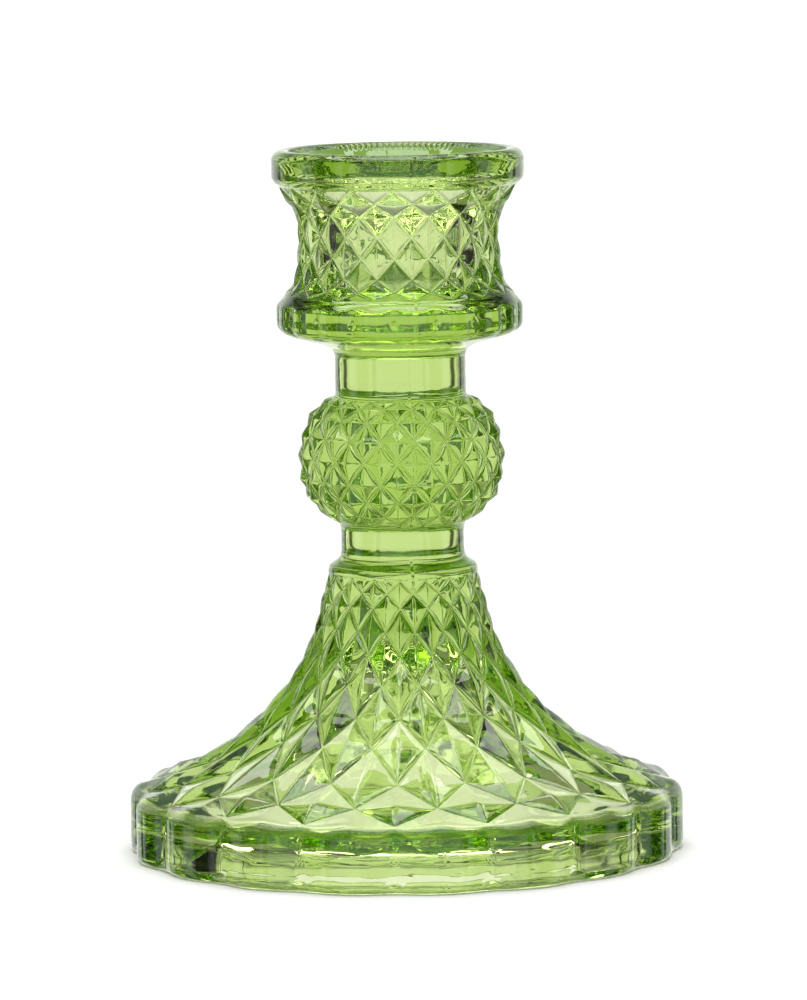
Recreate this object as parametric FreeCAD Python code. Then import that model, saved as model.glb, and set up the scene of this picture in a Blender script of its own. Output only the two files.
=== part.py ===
import FreeCAD, Part
import math
import os

# Glass candlestick for one 22 mm taper candle, in millimetres.
# +Z is up. The origin is on the axis, on the surface that the foot stands on.
# The glass is modelled in its sections, which meet face to face on level planes:
# foot, collar, lower stem, knop, upper stem, socket and lip.

# ---- driving dimensions -------------------------------------------------------------
HEIGHT = 105.0
LOBES = 18                     # lobes round the foot, and diamonds round every cut row
VALLEY_AZIMUTH = -90.0         # degrees, one valley between lobes faces -Y

FOOT_LOBE_R = 41.5             # foot, over the lobes
FOOT_VALLEY_R = 40.1           # foot, in the valleys between lobes
FOOT_RIM_H = 9.6               # foot's scalloped rim, up to the first cut row
FOOT_SHOULDER_R = 2.2          # rounding over the rim
HOLLOW_MOUTH_R = 35.6          # hollow under the foot, where it meets the table
HOLLOW_DEPTH = 30.0
HOLLOW_ROOF = [                # radius and height, from the hollow's upright wall to its middle
    (34.6, 4.2), (33.2, 5.6), (27.0, 8.2), (19.5, 12.6), (13.6, 18.4), (9.0, 25.4),
    (5.0, 29.2), (0, HOLLOW_DEPTH),
]

COLLAR_Z = 41.7
COLLAR_R = 11.1
COLLAR_RING_H = 1.3            # upright part of the collar
COLLAR_SLOPE_R = 9.7           # foot of the small round that leads into the stem
COLLAR_SLOPE_Z = 43.9

LOWER_STEM_Z = 44.5
LOWER_STEM_R = 9.2
KNOP_Z = 49.7
KNOP_TOP_Z = 68.0
UPPER_STEM_R = 9.75

SOCKET_Z = 74.6
BAND_BOTTOM_Z = 78.2           # scalloped band round the foot of the socket
BAND_TOP_Z = 81.4
BAND_LOBE_R = 18.3
BAND_VALLEY_R = 17.85
DISH = [(11.6, 76.0), (17.3, 77.6)]            # underside, from the stem out to the band
SHOULDER = [(17.3, 82.5), (16.2, 83.7)]        # from the band in to the cut neck
SHOULDER_TOP_R = 15.6
NECK_Z = 84.6                  # lowest cut row of the socket
LIP_Z = 97.9
LIP_R = 18.8
LIP_UNDER_R = 16.1
LIP_SIDE_Z = 100.4             # the lip's upright side starts here
LIP_EASE = 0.5                 # bevel between the lip's underside and its upright side
LIP_ROUND_R = 1.6

CANDLE_BORE_R = 11.25          # slides over a 22 mm candle
BORE_FLOOR_Z = 83.5
BORE_END_Z = 101.5             # the funnel that leads the candle in starts here
FUNNEL_TOP_R = 14.2
FUNNEL_TOP_Z = 104.25

# Cut rows, from the top down: radius and height of the points where grooves cross.
SKIRT_ROWS = [
    (11.2, 41.7), (11.3, 39.75), (11.8, 37.6), (12.7, 34.1), (13.8, 30.6), (15.9, 26.6),
    (19.1, 22.1), (22.8, 18.2), (28.8, 13.9), (34.7, 11.4), (39.0, 9.6),
]
SKIRT_TIP = 0.7                # how far a diamond's tip stands out over its row
KNOP_ROWS = [
    (10.3, 68.0), (11.4, 67.1), (13.1, 65.2), (14.2, 62.5), (14.7, 59.4), (14.5, 56.2),
    (13.6, 53.5), (11.9, 51.3), (10.4, 49.7),
]
KNOP_TIP = 0.75
NECK_ROWS = [
    (16.3, 97.9), (14.9, 95.8), (14.5, 92.7), (14.55, 89.5), (15.0, 86.5), (15.85, 84.6),
]
NECK_TIP = 0.5

HALF_STEP = 180.0 / LOBES      # degrees from a valley to the next lobe's middle


def at(radius, height, half_steps=0.0):
    """A point at a radius and height, some half steps round from the front valley."""
    angle = math.radians(VALLEY_AZIMUTH + half_steps * HALF_STEP)
    return FreeCAD.Vector(radius * math.cos(angle), radius * math.sin(angle), height)


def profile_point(radius, height):
    return FreeCAD.Vector(radius, 0, height)


def line(start, end):
    return Part.LineSegment(profile_point(*start), profile_point(*end)).toShape()


def arc(start, middle, end):
    return Part.Arc(profile_point(*start), profile_point(*middle), profile_point(*end)).toShape()


def quarter(start, corner, end):
    """A quarter round from start to end, for the square corner between them."""
    pull = math.sqrt(0.5)
    radius = start[0] + end[0] - corner[0]
    height = start[1] + end[1] - corner[1]
    middle = (radius + pull * (corner[0] - radius), height + pull * (corner[1] - height))
    return arc(start, middle, end)


def spline(points):
    curve = Part.BSplineCurve()
    curve.interpolate([profile_point(*point) for point in points])
    return curve.toShape()


def turned(edges):
    """The solid that a closed outline sweeps as it turns round the axis."""
    face = Part.Face(Part.Wire(edges))
    solid = face.revolve(FreeCAD.Vector(0, 0, 0), FreeCAD.Vector(0, 0, 1), 360)
    return solid if solid.Volume > 0 else solid.reversed()


def turned_lines(points):
    ends = points[1:] + points[:1]
    return turned([line(start, end) for start, end in zip(points, ends)])


def cylinder(radius, low, high):
    return Part.makeCylinder(radius, high - low, profile_point(0, low))


def lobed_prism(lobe_r, valley_r, low, high):
    """An upright prism with one outward arc between each valley and the next."""
    arcs = []
    for lobe in range(LOBES):
        valley = at(valley_r, low, 2 * lobe)
        top = at(lobe_r, low, 2 * lobe + 1)
        next_valley = at(valley_r, low, 2 * ((lobe + 1) % LOBES))
        arcs.append(Part.Arc(valley, top, next_valley).toShape())
    face = Part.Face(Part.Wire(arcs))
    return face.extrude(FreeCAD.Vector(0, 0, high - low))


def outward(rows, index):
    """Unit normal of the row's surface, as radius and height parts."""
    above = rows[index - 1]
    below = rows[index + 1]
    rise = above[1] - below[1]
    spread = below[0] - above[0]
    size = math.hypot(rise, spread)
    return rise / size, spread / size


def cut_solid(rows, first_column, tip_height):
    """A solid whose side is rows of four-sided diamonds, closed by level ends.

    Grooves cross at every second column of a row. The columns between hold the
    diamonds, each with its tip over the row and its corners on the crossings.
    """
    triangles = []
    last = len(rows) - 1
    for index, (radius, height) in enumerate(rows):
        for lobe in range(LOBES):
            column = first_column + index + 1 + 2 * lobe
            left = at(radius, height, column - 1)
            right = at(radius, height, column + 1)
            top = at(*rows[index - 1], column) if index > 0 else None
            bottom = at(*rows[index + 1], column) if index < last else None
            if top is None:
                triangles.append((left, bottom, right))
            elif bottom is None:
                triangles.append((left, right, top))
            else:
                normal_r, normal_z = outward(rows, index)
                tip = at(radius + tip_height * normal_r, height + tip_height * normal_z, column)
                corners = [left, bottom, right, top]
                next_corners = corners[1:] + corners[:1]
                triangles += [(tip, one, two) for one, two in zip(corners, next_corners)]
    faces = [Part.Face(Part.makePolygon([*triangle, triangle[0]])) for triangle in triangles]
    for index in (0, last):
        ring = [at(*rows[index], first_column + index + 2 * lobe) for lobe in range(LOBES)]
        faces.append(Part.Face(Part.makePolygon([*ring, ring[0]])))
    shell = Part.makeShell(faces)
    shell.sewShape()
    solid = Part.makeSolid(shell)
    return solid if solid.Volume > 0 else solid.reversed()


def foot():
    """Scalloped rim, cut skirt over it, and the hollow that opens downwards."""
    side_z = FOOT_RIM_H - FOOT_SHOULDER_R
    inner = FOOT_LOBE_R - FOOT_SHOULDER_R
    rounded = turned([
        line((0, 0), (FOOT_LOBE_R, 0)),
        line((FOOT_LOBE_R, 0), (FOOT_LOBE_R, side_z)),
        quarter((FOOT_LOBE_R, side_z), (FOOT_LOBE_R, FOOT_RIM_H), (inner, FOOT_RIM_H)),
        line((inner, FOOT_RIM_H), (0, FOOT_RIM_H)),
        line((0, FOOT_RIM_H), (0, 0)),
    ])
    rim = lobed_prism(FOOT_LOBE_R, FOOT_VALLEY_R, 0, FOOT_RIM_H).common(rounded)
    skirt = cut_solid(SKIRT_ROWS, 0, SKIRT_TIP)
    return rim.fuse(skirt).removeSplitter().cut(hollow())


def hollow():
    """The round-topped space under the foot, a little over 5 mm inside the skirt."""
    below = -1.0
    return turned([
        line((0, below), (HOLLOW_MOUTH_R, below)),
        line((HOLLOW_MOUTH_R, below), (HOLLOW_MOUTH_R, 0)),
        line((HOLLOW_MOUTH_R, 0), HOLLOW_ROOF[0]),
        spline(HOLLOW_ROOF),
        line(HOLLOW_ROOF[-1], (0, below)),
    ])


def collar():
    """Plain ring on top of the skirt, sloping in to the stem."""
    ring_z = COLLAR_Z + COLLAR_RING_H
    return turned_lines([
        (0, COLLAR_Z), (COLLAR_R, COLLAR_Z), (COLLAR_R, ring_z),
        (COLLAR_SLOPE_R, COLLAR_SLOPE_Z), (LOWER_STEM_R, LOWER_STEM_Z), (0, LOWER_STEM_Z),
    ])


def knop():
    return cut_solid(KNOP_ROWS, 0, KNOP_TIP)


def candle_bore():
    return cylinder(CANDLE_BORE_R, BORE_FLOOR_Z, HEIGHT + 1)


def socket():
    """Candle cup: dish, scalloped band, shoulder and cut neck, with the blind bore."""
    dish = turned_lines([
        (0, SOCKET_Z), (UPPER_STEM_R, SOCKET_Z), *DISH,
        (BAND_LOBE_R, BAND_BOTTOM_Z), (BAND_LOBE_R, BAND_TOP_Z), *SHOULDER,
        (SHOULDER_TOP_R, NECK_Z), (0, NECK_Z),
    ])
    lobes = lobed_prism(BAND_LOBE_R, BAND_VALLEY_R, SOCKET_Z, NECK_Z)
    neck = cut_solid(NECK_ROWS, 1, NECK_TIP)
    return dish.common(lobes).fuse(neck).removeSplitter().cut(candle_bore())


def lip():
    """Thick rolled rim, with the funnel that opens into the bore."""
    side_top = HEIGHT - LIP_ROUND_R
    crown_r = LIP_R - LIP_ROUND_R
    return turned([
        line((CANDLE_BORE_R, LIP_Z), (LIP_UNDER_R, LIP_Z)),
        line((LIP_UNDER_R, LIP_Z), (LIP_R - LIP_EASE, LIP_SIDE_Z - LIP_EASE)),
        line((LIP_R - LIP_EASE, LIP_SIDE_Z - LIP_EASE), (LIP_R, LIP_SIDE_Z)),
        line((LIP_R, LIP_SIDE_Z), (LIP_R, side_top)),
        quarter((LIP_R, side_top), (LIP_R, HEIGHT), (crown_r, HEIGHT)),
        line((crown_r, HEIGHT), (FUNNEL_TOP_R, FUNNEL_TOP_Z)),
        line((FUNNEL_TOP_R, FUNNEL_TOP_Z), (CANDLE_BORE_R, BORE_END_Z)),
        line((CANDLE_BORE_R, BORE_END_Z), (CANDLE_BORE_R, LIP_Z)),
    ])


SECTIONS = {
    "foot": foot(),
    "collar": collar(),
    "lower_stem": cylinder(LOWER_STEM_R, LOWER_STEM_Z, KNOP_Z),
    "knop": knop(),
    "upper_stem": cylinder(UPPER_STEM_R, KNOP_TOP_Z, SOCKET_Z),
    "socket": socket(),
    "lip": lip(),
}

os.makedirs("parts", exist_ok=True)
for name, shape in SECTIONS.items():
    solid = shape.Solids[0]
    print(name, "solids", len(shape.Solids), "valid", shape.isValid(), "mm3", round(shape.Volume))
    solid.exportStep("parts/" + name + ".step")
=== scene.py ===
import math

import bpy
import numpy as np
from mathutils import Matrix, Vector


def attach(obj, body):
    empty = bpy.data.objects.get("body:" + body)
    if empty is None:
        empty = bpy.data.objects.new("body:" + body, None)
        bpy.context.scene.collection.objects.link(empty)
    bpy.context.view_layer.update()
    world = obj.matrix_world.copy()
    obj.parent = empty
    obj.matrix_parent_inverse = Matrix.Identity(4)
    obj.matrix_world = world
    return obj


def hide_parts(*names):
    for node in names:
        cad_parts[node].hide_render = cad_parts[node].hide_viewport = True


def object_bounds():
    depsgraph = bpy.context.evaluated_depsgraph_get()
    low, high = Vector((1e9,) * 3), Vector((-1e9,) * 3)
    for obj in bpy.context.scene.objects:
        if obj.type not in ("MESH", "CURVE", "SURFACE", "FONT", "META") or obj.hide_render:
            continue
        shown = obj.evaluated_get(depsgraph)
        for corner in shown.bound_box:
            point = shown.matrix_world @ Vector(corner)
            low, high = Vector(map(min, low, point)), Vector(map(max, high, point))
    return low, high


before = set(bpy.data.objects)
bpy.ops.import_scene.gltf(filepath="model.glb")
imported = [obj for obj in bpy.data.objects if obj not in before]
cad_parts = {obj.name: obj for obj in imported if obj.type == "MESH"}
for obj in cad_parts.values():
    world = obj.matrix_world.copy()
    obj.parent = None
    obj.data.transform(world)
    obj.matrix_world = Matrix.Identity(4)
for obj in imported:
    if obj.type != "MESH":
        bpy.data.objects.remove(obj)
cad_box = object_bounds()

# Glass candlestick. The glass is one closed skin, ring by ring from the middle of the
# candle bore's floor, up over the lip, down the outside and up into the hollow under the
# foot. Sizes are in millimetres here and become metres when the mesh is written.
MM = 0.001
HEIGHT = cad_box[1].z / MM
FOOT_R = cad_box[1].x / MM
FOOT_VALLEY_R = FOOT_R - 1.4
BASE_VALLEY_R = FOOT_R - 0.9            # right at the bottom the valleys are filled this far
HOLLOW_DEPTH = 30.0
LOBES = 18
HALF_STEP = math.pi / LOBES             # from a valley between lobes to a lobe's middle
CELLS = 8                               # mesh cells across half a diamond
STEP_COLUMNS = 2 * CELLS
FINE_COLUMNS = 36                       # for the ribs in the lip and the dimples in the band
VALLEY_AZIMUTH = -math.pi / 2           # one valley faces -Y
QUARTER_TURN = math.tan(math.pi / 8)    # an arc's bulge when it turns by a right angle

BORE_R = 11.25
BORE_FLOOR = 83.5
FUNNEL_FOOT = 101.5                     # the mouth's funnel starts here
FUNNEL_TOP = (14.2, 104.25)             # its radius and height
RIBS = 6                                # fine ribs inside the lip's crest, for each lobe
RIB_DEPTH = 0.2
LIP_R = 18.8
LIP_ROUND = 1.6

BAND_LOBE_R = 18.35
BAND_VALLEY_R = 17.95
DIMPLE_HEIGHT = 80.1                    # middle of the teardrop dimples in the band
DIMPLE_DEPTH = 0.34
UPPER_STEM_R = 9.75
LOWER_STEM_R = 9.2

# Radius and height of the points where grooves cross, from the top row down, and how far
# each row's diamonds stand out. *_GROOVES is the share of a facet that its groove takes up.
NECK_ROWS = [(17.9, 99.8), (16.3, 97.7), (14.9, 95.8), (14.5, 92.7), (14.55, 89.5),
             (15.0, 86.5), (15.85, 84.6), (17.0, 83.6)]
NECK_TIPS = [0, 0.5, 0.6, 0.6, 0.6, 0.6, 0.2, 0]
NECK_GROOVES = [0.19] * 7
KNOP_ROWS = [(10.4, 68.05), (11.4, 67.1), (13.1, 65.2), (14.2, 62.5), (14.7, 59.4),
             (14.5, 56.2), (13.6, 53.5), (11.9, 51.3), (10.5, 49.8)]
KNOP_TIPS = [0, 0.5, 0.75, 0.8, 0.8, 0.8, 0.75, 0.5, 0]
KNOP_GROOVES = [0.16] * 8
SKIRT_ROWS = [(11.2, 41.7), (11.3, 39.75), (11.8, 37.6), (12.7, 34.1), (13.8, 30.6),
              (15.9, 26.6), (19.1, 22.1), (22.8, 18.2), (28.8, 13.9), (34.7, 11.4), (39.0, 9.6)]
SKIRT_TIPS = [0, 0.45, 0.55, 0.6, 0.7, 0.8, 0.9, 1.0, 1.0, 0.9, 0.6]
SKIRT_GROOVES = [0.19, 0.19, 0.18, 0.17, 0.15, 0.14, 0.12, 0.1, 0.09, 0.09]

# Mesh lines across a facet, numbered from groove to tip. The groove is GROOVE_DEPTH deep and
# reaches as far as line 2, and the facet's ridges and tip are rounded off by the last lines.
# FACET_SWELL is 0 for flat facets and 1 for a diamond that is one round pillow.
GROOVE_LINES = 2
GROOVE_DEPTH = 0.2
TIP_LINE = 0.93
RIDGE_CROWDING = 0.8
FACET_SWELL = 0.6

# Relief that is too fine for the mesh, in millimetres: the glass's slow waviness, its grain,
# the mould's seams, and the chill marks round the foot's shoulder. Every place and width
# that a material reads is in metres.
FLOW_RELIEF = 0.08
FLOW_SCALE = 170.0
GRAIN_RELIEF = 0.0015
GRAIN_SCALE = 1400.0
SEAM_RELIEF = 0.05
SEAM_AZIMUTHS = (VALLEY_AZIMUTH + HALF_STEP, VALLEY_AZIMUTH + HALF_STEP + math.pi)
SEAM_HALF_ANGLE = 0.02
TICK_RELIEF = 0.02
SHOULDER_TICKS = 972
SHOULDER_Z, SHOULDER_REACH = 0.0088, 0.0009
SHOULDER_INNER_R = 0.0385

# The glass's colour: what its surface lets through, a painted shade in the mouth, and what its
# depth does.
SURFACE_TINT = (0.847, 0.912, 0.67, 1)
MOUTH_PAINTED_SHADE = (0.12, 0.30, 0.02, 1)      # painted shade: deep green painted on the surface of the mouth's funnel, for the dark seen inside the mouth
MOUTH_Z, MOUTH_Z_FADE = 0.1020, 0.0008  # where that painted shade starts, and out to which radius it goes
MOUTH_R, MOUTH_R_FADE = 0.0150, 0.0006
DEPTH_TINT = (0.63, 0.795, 0.11, 1)
DEPTH_DENSITY = 70.0                    # per metre
GLASS_INDEX = 1.52

# The studio. Angles are in degrees, from the horizon up or round from the Y axis.
HORIZON_LIGHT = 1.08
DARK_GAPS = [(68, 13, 8, 0.03), (45, 3.2, 2.5, 0.12)]   # middle, half, soft edge, light left
DIMMER_ABOVE = (14, 12, 0.66)           # start, length, and how much light is lost
DIMMER_BELOW = (16, 24, 0.25)
OVERHEAD_START = 70
RING_MIDDLE, RING_HALF = 58, 3.5
LAMP_LIGHT = 4.5                        # what the overhead lamp and the ring add
GREEN_BELOW = (30, 15)                  # light from below has passed through the glass
GREEN_LIGHT = (0.80, 0.91, 0.52, 1)


# ---------------------------------------------------------------- rings of the glass skin
def ring_of(radii, heights, columns=STEP_COLUMNS):
    """One lobe step of a ring: points (x, y, z) with the valley's azimuth along +x."""
    angle = np.arange(columns) * 2 * HALF_STEP / columns
    radii = np.broadcast_to(radii, angle.shape)
    heights = np.broadcast_to(heights, angle.shape)
    return np.stack([radii * np.cos(angle), radii * np.sin(angle), heights], axis=1)


def plain(profile):
    """Rings of a plain turned surface through (radius, height) points."""
    return [ring_of(radius, height) for radius, height in profile]


def arc(start, end, bulge, count):
    """Points of a circular arc, without its start. bulge is its height over half its chord."""
    start, end = np.array(start, float), np.array(end, float)
    middle = (start + end) / 2
    half = (end - start) / 2
    side = np.array([-half[1], half[0]])
    sweep = 4 * math.atan(bulge)
    radius_ratio = (1 + bulge * bulge) / (2 * bulge)
    centre = middle - side * (radius_ratio - bulge)
    points = []
    for index in range(1, count + 1):
        turn = sweep * index / count
        arm = start - centre
        turned = np.array([
            arm[0] * math.cos(-turn) - arm[1] * math.sin(-turn),
            arm[0] * math.sin(-turn) + arm[1] * math.cos(-turn),
        ])
        points.append(tuple(centre + turned))
    return points


def straight(start, end, count):
    """Points of a straight run, without its start."""
    return [
        (start[0] + (end[0] - start[0]) * index / count,
         start[1] + (end[1] - start[1]) * index / count)
        for index in range(1, count + 1)
    ]


def smooth_curve(knots, per_span):
    """Points of a Catmull-Rom curve through the knots, without its start."""
    padded = [2 * np.array(knots[0]) - np.array(knots[1])]
    padded += [np.array(knot, float) for knot in knots]
    padded.append(2 * np.array(knots[-1]) - np.array(knots[-2]))
    points = []
    for a, b, c, d in zip(padded, padded[1:], padded[2:], padded[3:]):
        for index in range(1, per_span + 1):
            t = index / per_span
            point = 0.5 * (2 * b + (c - a) * t + (2 * a - 5 * b + 4 * c - d) * t * t
                           + (3 * b - a - 3 * c + d) * t * t * t)
            points.append(tuple(point))
    return points


def row_point(radius, height, column):
    angle = column * HALF_STEP
    return np.array([radius * math.cos(angle), radius * math.sin(angle), height])


def toward_groove(level, groove):
    """Where a facet's mesh line lies, 0 at the groove and 1 at the tip."""
    lines = (0, 1, GROOVE_LINES, CELLS - 1, CELLS)
    return np.interp(level * CELLS, lines, (0, groove / 2, groove, TIP_LINE, 1))


def toward_ridge(share):
    """Crowds the mesh lines of a facet, 0 and 1 at its two ridges, at those ridges."""
    return share - RIDGE_CROWDING * math.sin(2 * math.pi * share) / (2 * math.pi)


def facet_point(tip, cross_side, cross_down, side, down, groove, stand):
    """A point of the facet between a tip and two crossings.

    The facet is flat apart from its swell, which goes by how far the tip stands out, and
    from the groove let in along its edge.
    """
    reach = side + down
    if reach < 1e-9:
        return tip
    level = 1 - reach
    share = toward_ridge(side / reach)
    reach = 1 - toward_groove(level, groove)
    point = (1 - reach) * tip + reach * (share * cross_side + (1 - share) * cross_down)
    skew = reach * (2 * share - 1)
    pillow = (1 - reach ** 2) * (1 - skew ** 2)
    swell = stand * FACET_SWELL * (pillow - (1 - reach))
    inward = GROOVE_DEPTH * max(0.0, 1 - level * CELLS / GROOVE_LINES) ** 1.4 - swell
    radius = math.hypot(point[0], point[1])
    return point * np.array([1 - inward / radius, 1 - inward / radius, 1])


def cut_rings(rows, tips, grooves):
    """Rings of rows of four-sided diamonds, with a facet between each tip and its corners.

    Grooves cross at the columns whose number plus the row's is even, and a diamond's tip
    is at the others.
    """
    def corner(row, column):
        radius, height = rows[row]
        if (row + column) % 2 == 0:
            return row_point(radius, height, column)
        above = rows[max(row - 1, 0)]
        below = rows[min(row + 1, len(rows) - 1)]
        rise, spread = above[1] - below[1], below[0] - above[0]
        size = math.hypot(rise, spread)
        return row_point(radius + tips[row] * rise / size, height + tips[row] * spread / size,
                         column)

    rings = []
    for row in range(len(rows) - 1):
        groove = grooves[row]
        for step in range(CELLS):
            down = step / CELLS
            ring = []
            for index in range(STEP_COLUMNS):
                column, across = index // CELLS, (index % CELLS) / CELLS
                tip_is_left = (row + column) % 2 == 1
                near, far = (0, 1) if tip_is_left else (1, 0)
                side = across if tip_is_left else 1 - across
                upper_tip = corner(row, column + near)
                lower_tip = corner(row + 1, column + far)
                upper_cross = corner(row, column + far)
                lower_cross = corner(row + 1, column + near)
                if side + down <= 1:
                    point = facet_point(upper_tip, upper_cross, lower_cross, side, down, groove,
                                        tips[row])
                else:
                    point = facet_point(lower_tip, lower_cross, upper_cross, 1 - side, 1 - down,
                                        groove, tips[row + 1])
                ring.append(point)
            rings.append(np.array(ring))
    return rings


def lobe_radius(lobe_r, valley_r, columns=STEP_COLUMNS):
    """Radius of each column where round lobes meet in sharp valleys."""
    angle = (np.arange(columns) * 2 / columns - 1) * HALF_STEP
    sagitta = lobe_r - valley_r * math.cos(HALF_STEP)
    half_chord = valley_r * math.sin(HALF_STEP)
    round_r = (sagitta ** 2 + half_chord ** 2) / (2 * sagitta)
    centre = lobe_r - round_r
    return centre * np.cos(angle) + np.sqrt(round_r ** 2 - (centre * np.sin(angle)) ** 2)


def mouth_rings():
    """The candle bore, the funnel at its mouth, the ribs in the lip's crest, and the lip."""
    floor_edge = 1.5
    bore = [(2.0, BORE_FLOOR), (6.0, BORE_FLOOR), (BORE_R - floor_edge, BORE_FLOOR)]
    bore += arc(bore[-1], (BORE_R, BORE_FLOOR + floor_edge), -QUARTER_TURN, 5)
    bore += straight(bore[-1], (BORE_R, FUNNEL_FOOT - 0.3), 4)
    bore += smooth_curve([bore[-1], (BORE_R + 0.08, FUNNEL_FOOT),
                          (BORE_R + 0.35, FUNNEL_FOOT + 0.35)], 2)
    rings = plain(bore)
    rings += [ring_of(radius, height, FINE_COLUMNS)
              for radius, height in straight(bore[-1], FUNNEL_TOP, 4)]

    rib_wave = RIB_DEPTH * np.cos(np.arange(FINE_COLUMNS) / FINE_COLUMNS * RIBS * 2 * math.pi)
    for radius, height, share in [(14.4, 104.3, 0.3), (14.7, 104.4, 1), (15.0, 104.5, 1),
                                  (15.3, 104.6, 1), (15.6, 104.69, 0.9), (15.9, 104.78, 0.5),
                                  (16.3, 104.87, 0)]:
        rings.append(ring_of(radius - 0.3 * share * rib_wave, height + 0.95 * share * rib_wave,
                             FINE_COLUMNS))

    crest_r = LIP_R - LIP_ROUND
    lip = smooth_curve([(16.3, 104.87), (crest_r - 0.45, HEIGHT - 0.03), (crest_r, HEIGHT)], 3)
    lip += arc((crest_r, HEIGHT), (LIP_R, HEIGHT - LIP_ROUND), QUARTER_TURN, 8)
    lip += straight((LIP_R, HEIGHT - LIP_ROUND), (LIP_R, 101.2), 2)
    lip += smooth_curve([(LIP_R, 101.2), (18.72, 100.75), (18.45, 100.3), (18.0, 99.85)], 3)
    return rings + plain(lip)


def band_rings():
    """The socket's shoulder and its scalloped band, with a dimple in each valley."""
    shoulder = [(17.0, 83.6)] + smooth_curve([(17.0, 83.6), (17.45, 82.9), (18.0, 82.3)], 2)
    wall = lobe_radius(BAND_LOBE_R, BAND_VALLEY_R, FINE_COLUMNS)
    angle = np.arange(FINE_COLUMNS) * 2 * HALF_STEP / FINE_COLUMNS
    from_valley = np.minimum(angle, 2 * HALF_STEP - angle) * 18.0
    edges = [(82.0, 0.12), (81.7, 0.03)]
    edges += [(81.4 - 0.17 * step, 0.0) for step in range(13)]
    edges += [(79.0, 0.03), (78.7, 0.12), (78.4, 0.28), (78.1, 0.52), (77.85, 0.85)]
    rings = plain(shoulder)
    for height, inset in edges:
        above = height - DIMPLE_HEIGHT
        half_length = 0.62 if above < 0 else 1.0
        half_width = 0.62 * (1 - 0.45 * min(1.0, max(0.0, above)))
        distance = np.hypot(from_valley / half_width, above / half_length)
        dimple = DIMPLE_DEPTH * np.clip(1 - distance ** 2, 0, 1) ** 1.5
        rings.append(ring_of(wall - inset - dimple, height, FINE_COLUMNS))
    return rings


def upper_stem_rings():
    """The socket's dished underside and the stem below it."""
    under = smooth_curve([(17.1, 77.6), (15.6, 77.15), (13.6, 76.6), (11.6, 76.0),
                          (10.3, 75.3), (9.8, 74.4), (UPPER_STEM_R, 73.6)], 3)
    stem = straight((UPPER_STEM_R, 73.6), (UPPER_STEM_R, 68.9), 3)
    return plain(under + stem + [(9.78, 68.45), (9.95, 68.2)])


def lower_stem_rings():
    """The stem under the knop, and the plain collar over the skirt."""
    stem = [(10.4, 49.75), (9.6, 49.4), (9.3, 48.8), (LOWER_STEM_R, 48.0)]
    stem += straight((LOWER_STEM_R, 48.0), (LOWER_STEM_R, 45.2), 2)
    collar = smooth_curve([(LOWER_STEM_R, 45.0), (9.4, 44.2), (10.1, 43.5), (10.9, 43.0),
                           (11.15, 42.4), (11.2, 41.8)], 2)
    return plain(stem + collar)


def foot_rings():
    """The foot's scalloped rim, what it stands on, and the hollow under the skirt."""
    wall = lobe_radius(FOOT_R, FOOT_VALLEY_R)
    edge = cut_rings([SKIRT_ROWS[-1], (39.2, 9.5)], [SKIRT_TIPS[-1]] * 2, [0.07])[0]
    edge_r = np.hypot(edge[:, 0], edge[:, 1])
    edge_z = edge[:, 2]
    wall_top, turns = 7.5, 6
    rings = []
    for index in range(turns + 1):
        turn = index / turns * math.pi / 2
        rings.append(ring_of(edge_r + (wall - edge_r) * math.sin(turn),
                             wall_top + (edge_z - wall_top) * math.cos(turn)))
    for height in (6.0, 4.5, 3.0, 2.0, 1.6):
        rings.append(ring_of(wall, height))
    filled = np.where(wall < BASE_VALLEY_R, BASE_VALLEY_R, wall)
    for height, inset in [(1.3, 0.0), (1.0, 0.0), (0.7, 0.03), (0.4, 0.15), (0.15, 0.4),
                          (0.0, 0.8), (0.0, 2.0)]:
        rings.append(ring_of(filled - inset, height))
    hollow = [(36.6, 0.0), (36.1, 0.12), (35.8, 0.5)]
    hollow += smooth_curve([(35.8, 0.5), (34.9, 3.6), (33.2, 5.6), (27.0, 8.2), (19.5, 12.6),
                            (13.6, 18.4), (9.0, 25.4), (5.0, 29.2), (1.6, HOLLOW_DEPTH)], 3)
    return rings + plain(hollow)


def skin_sections():
    """The skin's rings in order, in sections, each with whether it is cut in diamonds."""
    return [
        (mouth_rings(), False),
        (cut_rings(NECK_ROWS, NECK_TIPS, NECK_GROOVES), True),
        (band_rings(), False),
        (upper_stem_rings(), False),
        (cut_rings(KNOP_ROWS, KNOP_TIPS, KNOP_GROOVES), True),
        (lower_stem_rings(), False),
        (cut_rings(SKIRT_ROWS, SKIRT_TIPS, SKIRT_GROOVES), True),
        (foot_rings(), False),
    ]


def turned_points(ring):
    """A ring's lobe step repeated all the way round."""
    copies = []
    for lobe in range(LOBES):
        turn = VALLEY_AZIMUTH + lobe * 2 * HALF_STEP
        cosine, sine = math.cos(turn), math.sin(turn)
        copies.append(np.stack([ring[:, 0] * cosine - ring[:, 1] * sine,
                                ring[:, 0] * sine + ring[:, 1] * cosine, ring[:, 2]], axis=1))
    return np.vstack(copies)


def band_faces(upper, lower, count, cut_row):
    """Triangles between two rings of equal count, split along the grooves of a cut row."""
    faces = []
    for column in range(count):
        right = (column + 1) % count
        a, b, c, d = upper + column, upper + right, lower + right, lower + column
        if cut_row is not None and (cut_row + column // CELLS) % 2 == 0:
            faces += [(a, d, c), (a, c, b)]
        else:
            faces += [(a, d, b), (b, d, c)]
    return faces


def stitch_faces(upper, upper_count, lower, lower_count):
    """Triangles between two rings of unlike counts, which both start at the same azimuth."""
    faces, above, below = [], 0, 0
    while above < upper_count or below < lower_count:
        a, d = upper + above % upper_count, lower + below % lower_count
        if (above + 1) * lower_count <= (below + 1) * upper_count:
            faces.append((a, d, upper + (above + 1) % upper_count))
            above += 1
        else:
            faces.append((a, d, lower + (below + 1) % lower_count))
            below += 1
    return faces


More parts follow.
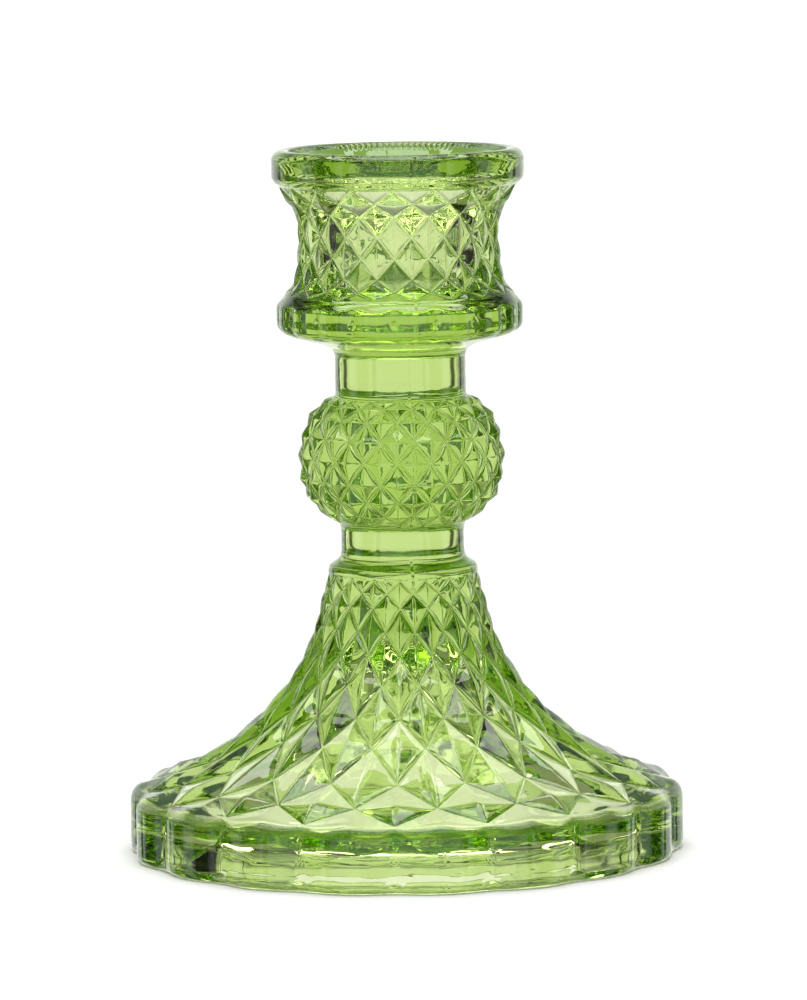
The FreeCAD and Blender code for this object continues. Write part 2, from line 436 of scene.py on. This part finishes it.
def write_mesh(name, sections, low_pole, high_pole):
    """One closed mesh: the rings turned through every lobe step, with a point at each end."""
    rings, cut_rows = [], []
    for section, is_cut in sections:
        rings += section
        cut_rows += [index // CELLS if is_cut else None for index in range(len(section))]
    blocks = [turned_points(ring) for ring in rings]
    counts = [len(points) for points in blocks]
    starts = np.concatenate([[0], np.cumsum(counts)]).tolist()
    poles = np.array([(0, 0, low_pole), (0, 0, high_pole)])
    points = np.vstack(blocks + [poles]) * MM
    first_pole, last_pole = starts[-1], starts[-1] + 1

    faces = [(first_pole, column, (column + 1) % counts[0]) for column in range(counts[0])]
    for row in range(len(rings) - 1):
        if counts[row] == counts[row + 1]:
            faces += band_faces(starts[row], starts[row + 1], counts[row], cut_rows[row])
        else:
            faces += stitch_faces(starts[row], counts[row], starts[row + 1], counts[row + 1])
    for column in range(counts[-1]):
        faces.append((last_pole, starts[-2] + (column + 1) % counts[-1], starts[-2] + column))
    mesh = bpy.data.meshes.new(name)
    mesh.from_pydata(points.tolist(), [], faces)
    mesh.update()
    mesh.shade_smooth()
    piece = bpy.data.objects.new(name, mesh)
    bpy.context.scene.collection.objects.link(piece)
    return piece


# ---------------------------------------------------------------- materials
class NodeMaker:
    """Shorthand for chains of nodes in one node tree."""

    def __init__(self, tree):
        self.nodes, self.links = tree.nodes, tree.links

    def feed(self, node, inputs):
        for slot, value in enumerate(inputs):
            if hasattr(value, "is_output"):
                self.links.new(value, node.inputs[slot])
            else:
                node.inputs[slot].default_value = value

    def math(self, operation, *inputs, clamp=False):
        node = self.nodes.new("ShaderNodeMath")
        node.operation = operation
        node.use_clamp = clamp
        self.feed(node, inputs)
        return node.outputs[0]

    def noise(self, vector, scale, detail):
        node = self.nodes.new("ShaderNodeTexNoise")
        node.inputs["Scale"].default_value = scale
        node.inputs["Detail"].default_value = detail
        self.links.new(vector, node.inputs["Vector"])
        return node.outputs["Fac"]

    def stretched(self, vector, scale):
        node = self.nodes.new("ShaderNodeMapping")
        node.inputs["Scale"].default_value = scale
        self.links.new(vector, node.inputs["Vector"])
        return node.outputs["Vector"]

    def blend(self, share, first, second):
        """The first colour where share is 0, and the second where it is 1."""
        node = self.nodes.new("ShaderNodeMix")
        node.data_type = "RGBA"
        node.inputs["A"].default_value = first
        node.inputs["B"].default_value = second
        self.links.new(share, node.inputs["Factor"])
        return node.outputs["Result"]

    def rise(self, value, start, length):
        """0 where value is below start, and 1 a length above it."""
        return self.math("DIVIDE", self.math("SUBTRACT", value, start), length, clamp=True)

    def peak(self, value, middle, reach):
        """1 where value is middle, falling to 0 at reach either side of it."""
        distance = self.math("ABSOLUTE", self.math("SUBTRACT", value, middle))
        return self.math("SUBTRACT", 1.0, self.math("DIVIDE", distance, reach), clamp=True)


def glass_material():
    """Pressed glass, coloured right through, with the marks of its mould as a fine relief."""
    material = bpy.data.materials.new("green_pressed_glass")
    material.use_nodes = True
    nodes, links = material.node_tree.nodes, material.node_tree.links
    shader = nodes["Principled BSDF"]
    shader.inputs["Transmission Weight"].default_value = 1.0
    shader.inputs["IOR"].default_value = GLASS_INDEX
    shader.inputs["Roughness"].default_value = 0.0
    volume = nodes.new("ShaderNodeVolumeAbsorption")
    volume.inputs["Color"].default_value = DEPTH_TINT
    volume.inputs["Density"].default_value = DEPTH_DENSITY
    links.new(volume.outputs["Volume"], nodes["Material Output"].inputs["Volume"])

    maker = NodeMaker(material.node_tree)
    place = nodes.new("ShaderNodeTexCoord").outputs["Object"]
    split = nodes.new("ShaderNodeSeparateXYZ")
    links.new(place, split.inputs["Vector"])
    across, along, up = split.outputs
    azimuth = maker.math("ARCTAN2", along, across)
    radius = maker.math("SQRT", maker.math("ADD", maker.math("MULTIPLY", across, across),
                                           maker.math("MULTIPLY", along, along)))

    # Painted shade: the base colour turns deep green on the mouth's funnel, standing in for the
    # dark seen inside the mouth.
    past_mouth = maker.rise(radius, MOUTH_R, MOUTH_R_FADE)
    painted_mouth_shade = maker.math("MULTIPLY", maker.rise(up, MOUTH_Z, MOUTH_Z_FADE),
                          maker.math("SUBTRACT", 1.0, past_mouth))
    links.new(maker.blend(painted_mouth_shade, SURFACE_TINT, MOUTH_PAINTED_SHADE), shader.inputs["Base Color"])

    flow = maker.noise(maker.stretched(place, (1.0, 1.0, 2.5)), FLOW_SCALE, 1.5)
    grain = maker.noise(place, GRAIN_SCALE, 2.0)
    relief = maker.math("ADD", maker.math("MULTIPLY", flow, FLOW_RELIEF),
                        maker.math("MULTIPLY", grain, GRAIN_RELIEF))
    for seam in SEAM_AZIMUTHS:
        ridge = maker.peak(azimuth, seam, SEAM_HALF_ANGLE)
        relief = maker.math("MULTIPLY_ADD", ridge, SEAM_RELIEF, relief)
    on_shoulder = maker.math("MULTIPLY", maker.peak(up, SHOULDER_Z, SHOULDER_REACH),
                             maker.math("GREATER_THAN", radius, SHOULDER_INNER_R))
    ticks = maker.math("SINE", maker.math("MULTIPLY", azimuth, float(SHOULDER_TICKS)))
    relief = maker.math("MULTIPLY_ADD", maker.math("MULTIPLY", ticks, on_shoulder), TICK_RELIEF,
                        relief)
    bump = nodes.new("ShaderNodeBump")
    bump.inputs["Strength"].default_value = 1.0
    bump.inputs["Distance"].default_value = MM
    links.new(relief, bump.inputs["Height"])
    links.new(bump.outputs["Normal"], shader.inputs["Normal"])
    return material


def floor_material():
    material = bpy.data.materials.new("pale_floor")
    material.use_nodes = True
    shader = material.node_tree.nodes["Principled BSDF"]
    shader.inputs["Base Color"].default_value = (0.92, 0.92, 0.92, 1)
    shader.inputs["Roughness"].default_value = 0.8
    return material


# ---------------------------------------------------------------- studio
def make_floor():
    bpy.ops.mesh.primitive_plane_add(size=80.0, location=(0, 0, -0.0001))
    floor = bpy.context.object
    floor.name = "floor"
    floor.data.materials.append(floor_material())
    floor.visible_transmission = False
    floor.visible_glossy = False
    return floor


def make_world():
    """A soft white studio with upright dark gaps between its screens, and lamps overhead.

    Seen past the object it is never darker than plain white.
    """
    world = bpy.data.worlds.new("studio")
    bpy.context.scene.world = world
    world.use_nodes = True
    nodes, links = world.node_tree.nodes, world.node_tree.links
    background = nodes["Background"]
    maker = NodeMaker(world.node_tree)
    split = nodes.new("ShaderNodeSeparateXYZ")
    links.new(nodes.new("ShaderNodeTexCoord").outputs["Generated"], split.inputs["Vector"])
    azimuth = maker.math("ARCTAN2", maker.math("ABSOLUTE", split.outputs["X"]),
                         maker.math("ABSOLUTE", split.outputs["Y"]))
    elevation = maker.math("ARCSINE", split.outputs["Z"])
    descent = maker.math("MULTIPLY", elevation, -1.0)

    brightness = HORIZON_LIGHT
    for middle, half, soft, light in DARK_GAPS:
        distance = maker.math("ABSOLUTE", maker.math("SUBTRACT", azimuth, math.radians(middle)))
        lit = maker.rise(distance, math.radians(half - soft / 2), math.radians(soft))
        brightness = maker.math("MULTIPLY", brightness,
                                maker.math("MULTIPLY_ADD", lit, 1 - light, light))
    for angle, (start, length, loss) in [(elevation, DIMMER_ABOVE), (descent, DIMMER_BELOW)]:
        dimming = maker.rise(angle, math.radians(start), math.radians(length))
        brightness = maker.math("MULTIPLY", brightness,
                                maker.math("MULTIPLY_ADD", dimming, -loss, 1.0))
    overhead = maker.math("GREATER_THAN", elevation, math.radians(OVERHEAD_START))
    brightness = maker.math("MULTIPLY_ADD", overhead, LAMP_LIGHT, brightness)
    from_ring = maker.math("SUBTRACT", elevation, math.radians(RING_MIDDLE))
    on_ring = maker.math("LESS_THAN", maker.math("ABSOLUTE", from_ring),
                         math.radians(RING_HALF))
    brightness = maker.math("MULTIPLY_ADD", on_ring, LAMP_LIGHT, brightness)
    seen_directly = nodes.new("ShaderNodeLightPath").outputs["Is Camera Ray"]
    links.new(maker.math("MAXIMUM", brightness, seen_directly), background.inputs["Strength"])

    start, length = GREEN_BELOW
    below = maker.rise(descent, math.radians(start), math.radians(length))
    links.new(maker.blend(below, (1, 1, 1, 1), GREEN_LIGHT), background.inputs["Color"])
    return world


def make_camera():
    """Long lens, a little above the object, turned a little round it."""
    distance, height = 0.924, 0.160
    azimuth, roll = math.radians(2.6), math.radians(-0.8)
    aim = Vector((0.0002, 0, 0.05245))
    place = Vector((math.sin(azimuth) * distance, -math.cos(azimuth) * distance, height))
    data = bpy.data.cameras.new("camera")
    data.lens = 224.3
    data.sensor_width = 36
    data.clip_end = 100
    camera = bpy.data.objects.new("camera", data)
    bpy.context.scene.collection.objects.link(camera)
    turn = (aim - place).to_track_quat("-Z", "Y")
    camera.matrix_world = Matrix.Translation(place) @ (turn.to_matrix().to_4x4()
                                                       @ Matrix.Rotation(roll, 4, "Z"))
    bpy.context.scene.camera = camera
    return camera


make_camera()
make_floor()
make_world()

glass = write_mesh("candlestick_glass", skin_sections(), BORE_FLOOR, HOLLOW_DEPTH)
glass.data.materials.append(glass_material())
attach(glass, "root")
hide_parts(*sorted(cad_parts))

scene = bpy.context.scene
scene.view_settings.view_transform = "Standard"
scene.cycles.max_bounces = 24
scene.cycles.transmission_bounces = 24
scene.cycles.glossy_bounces = 12
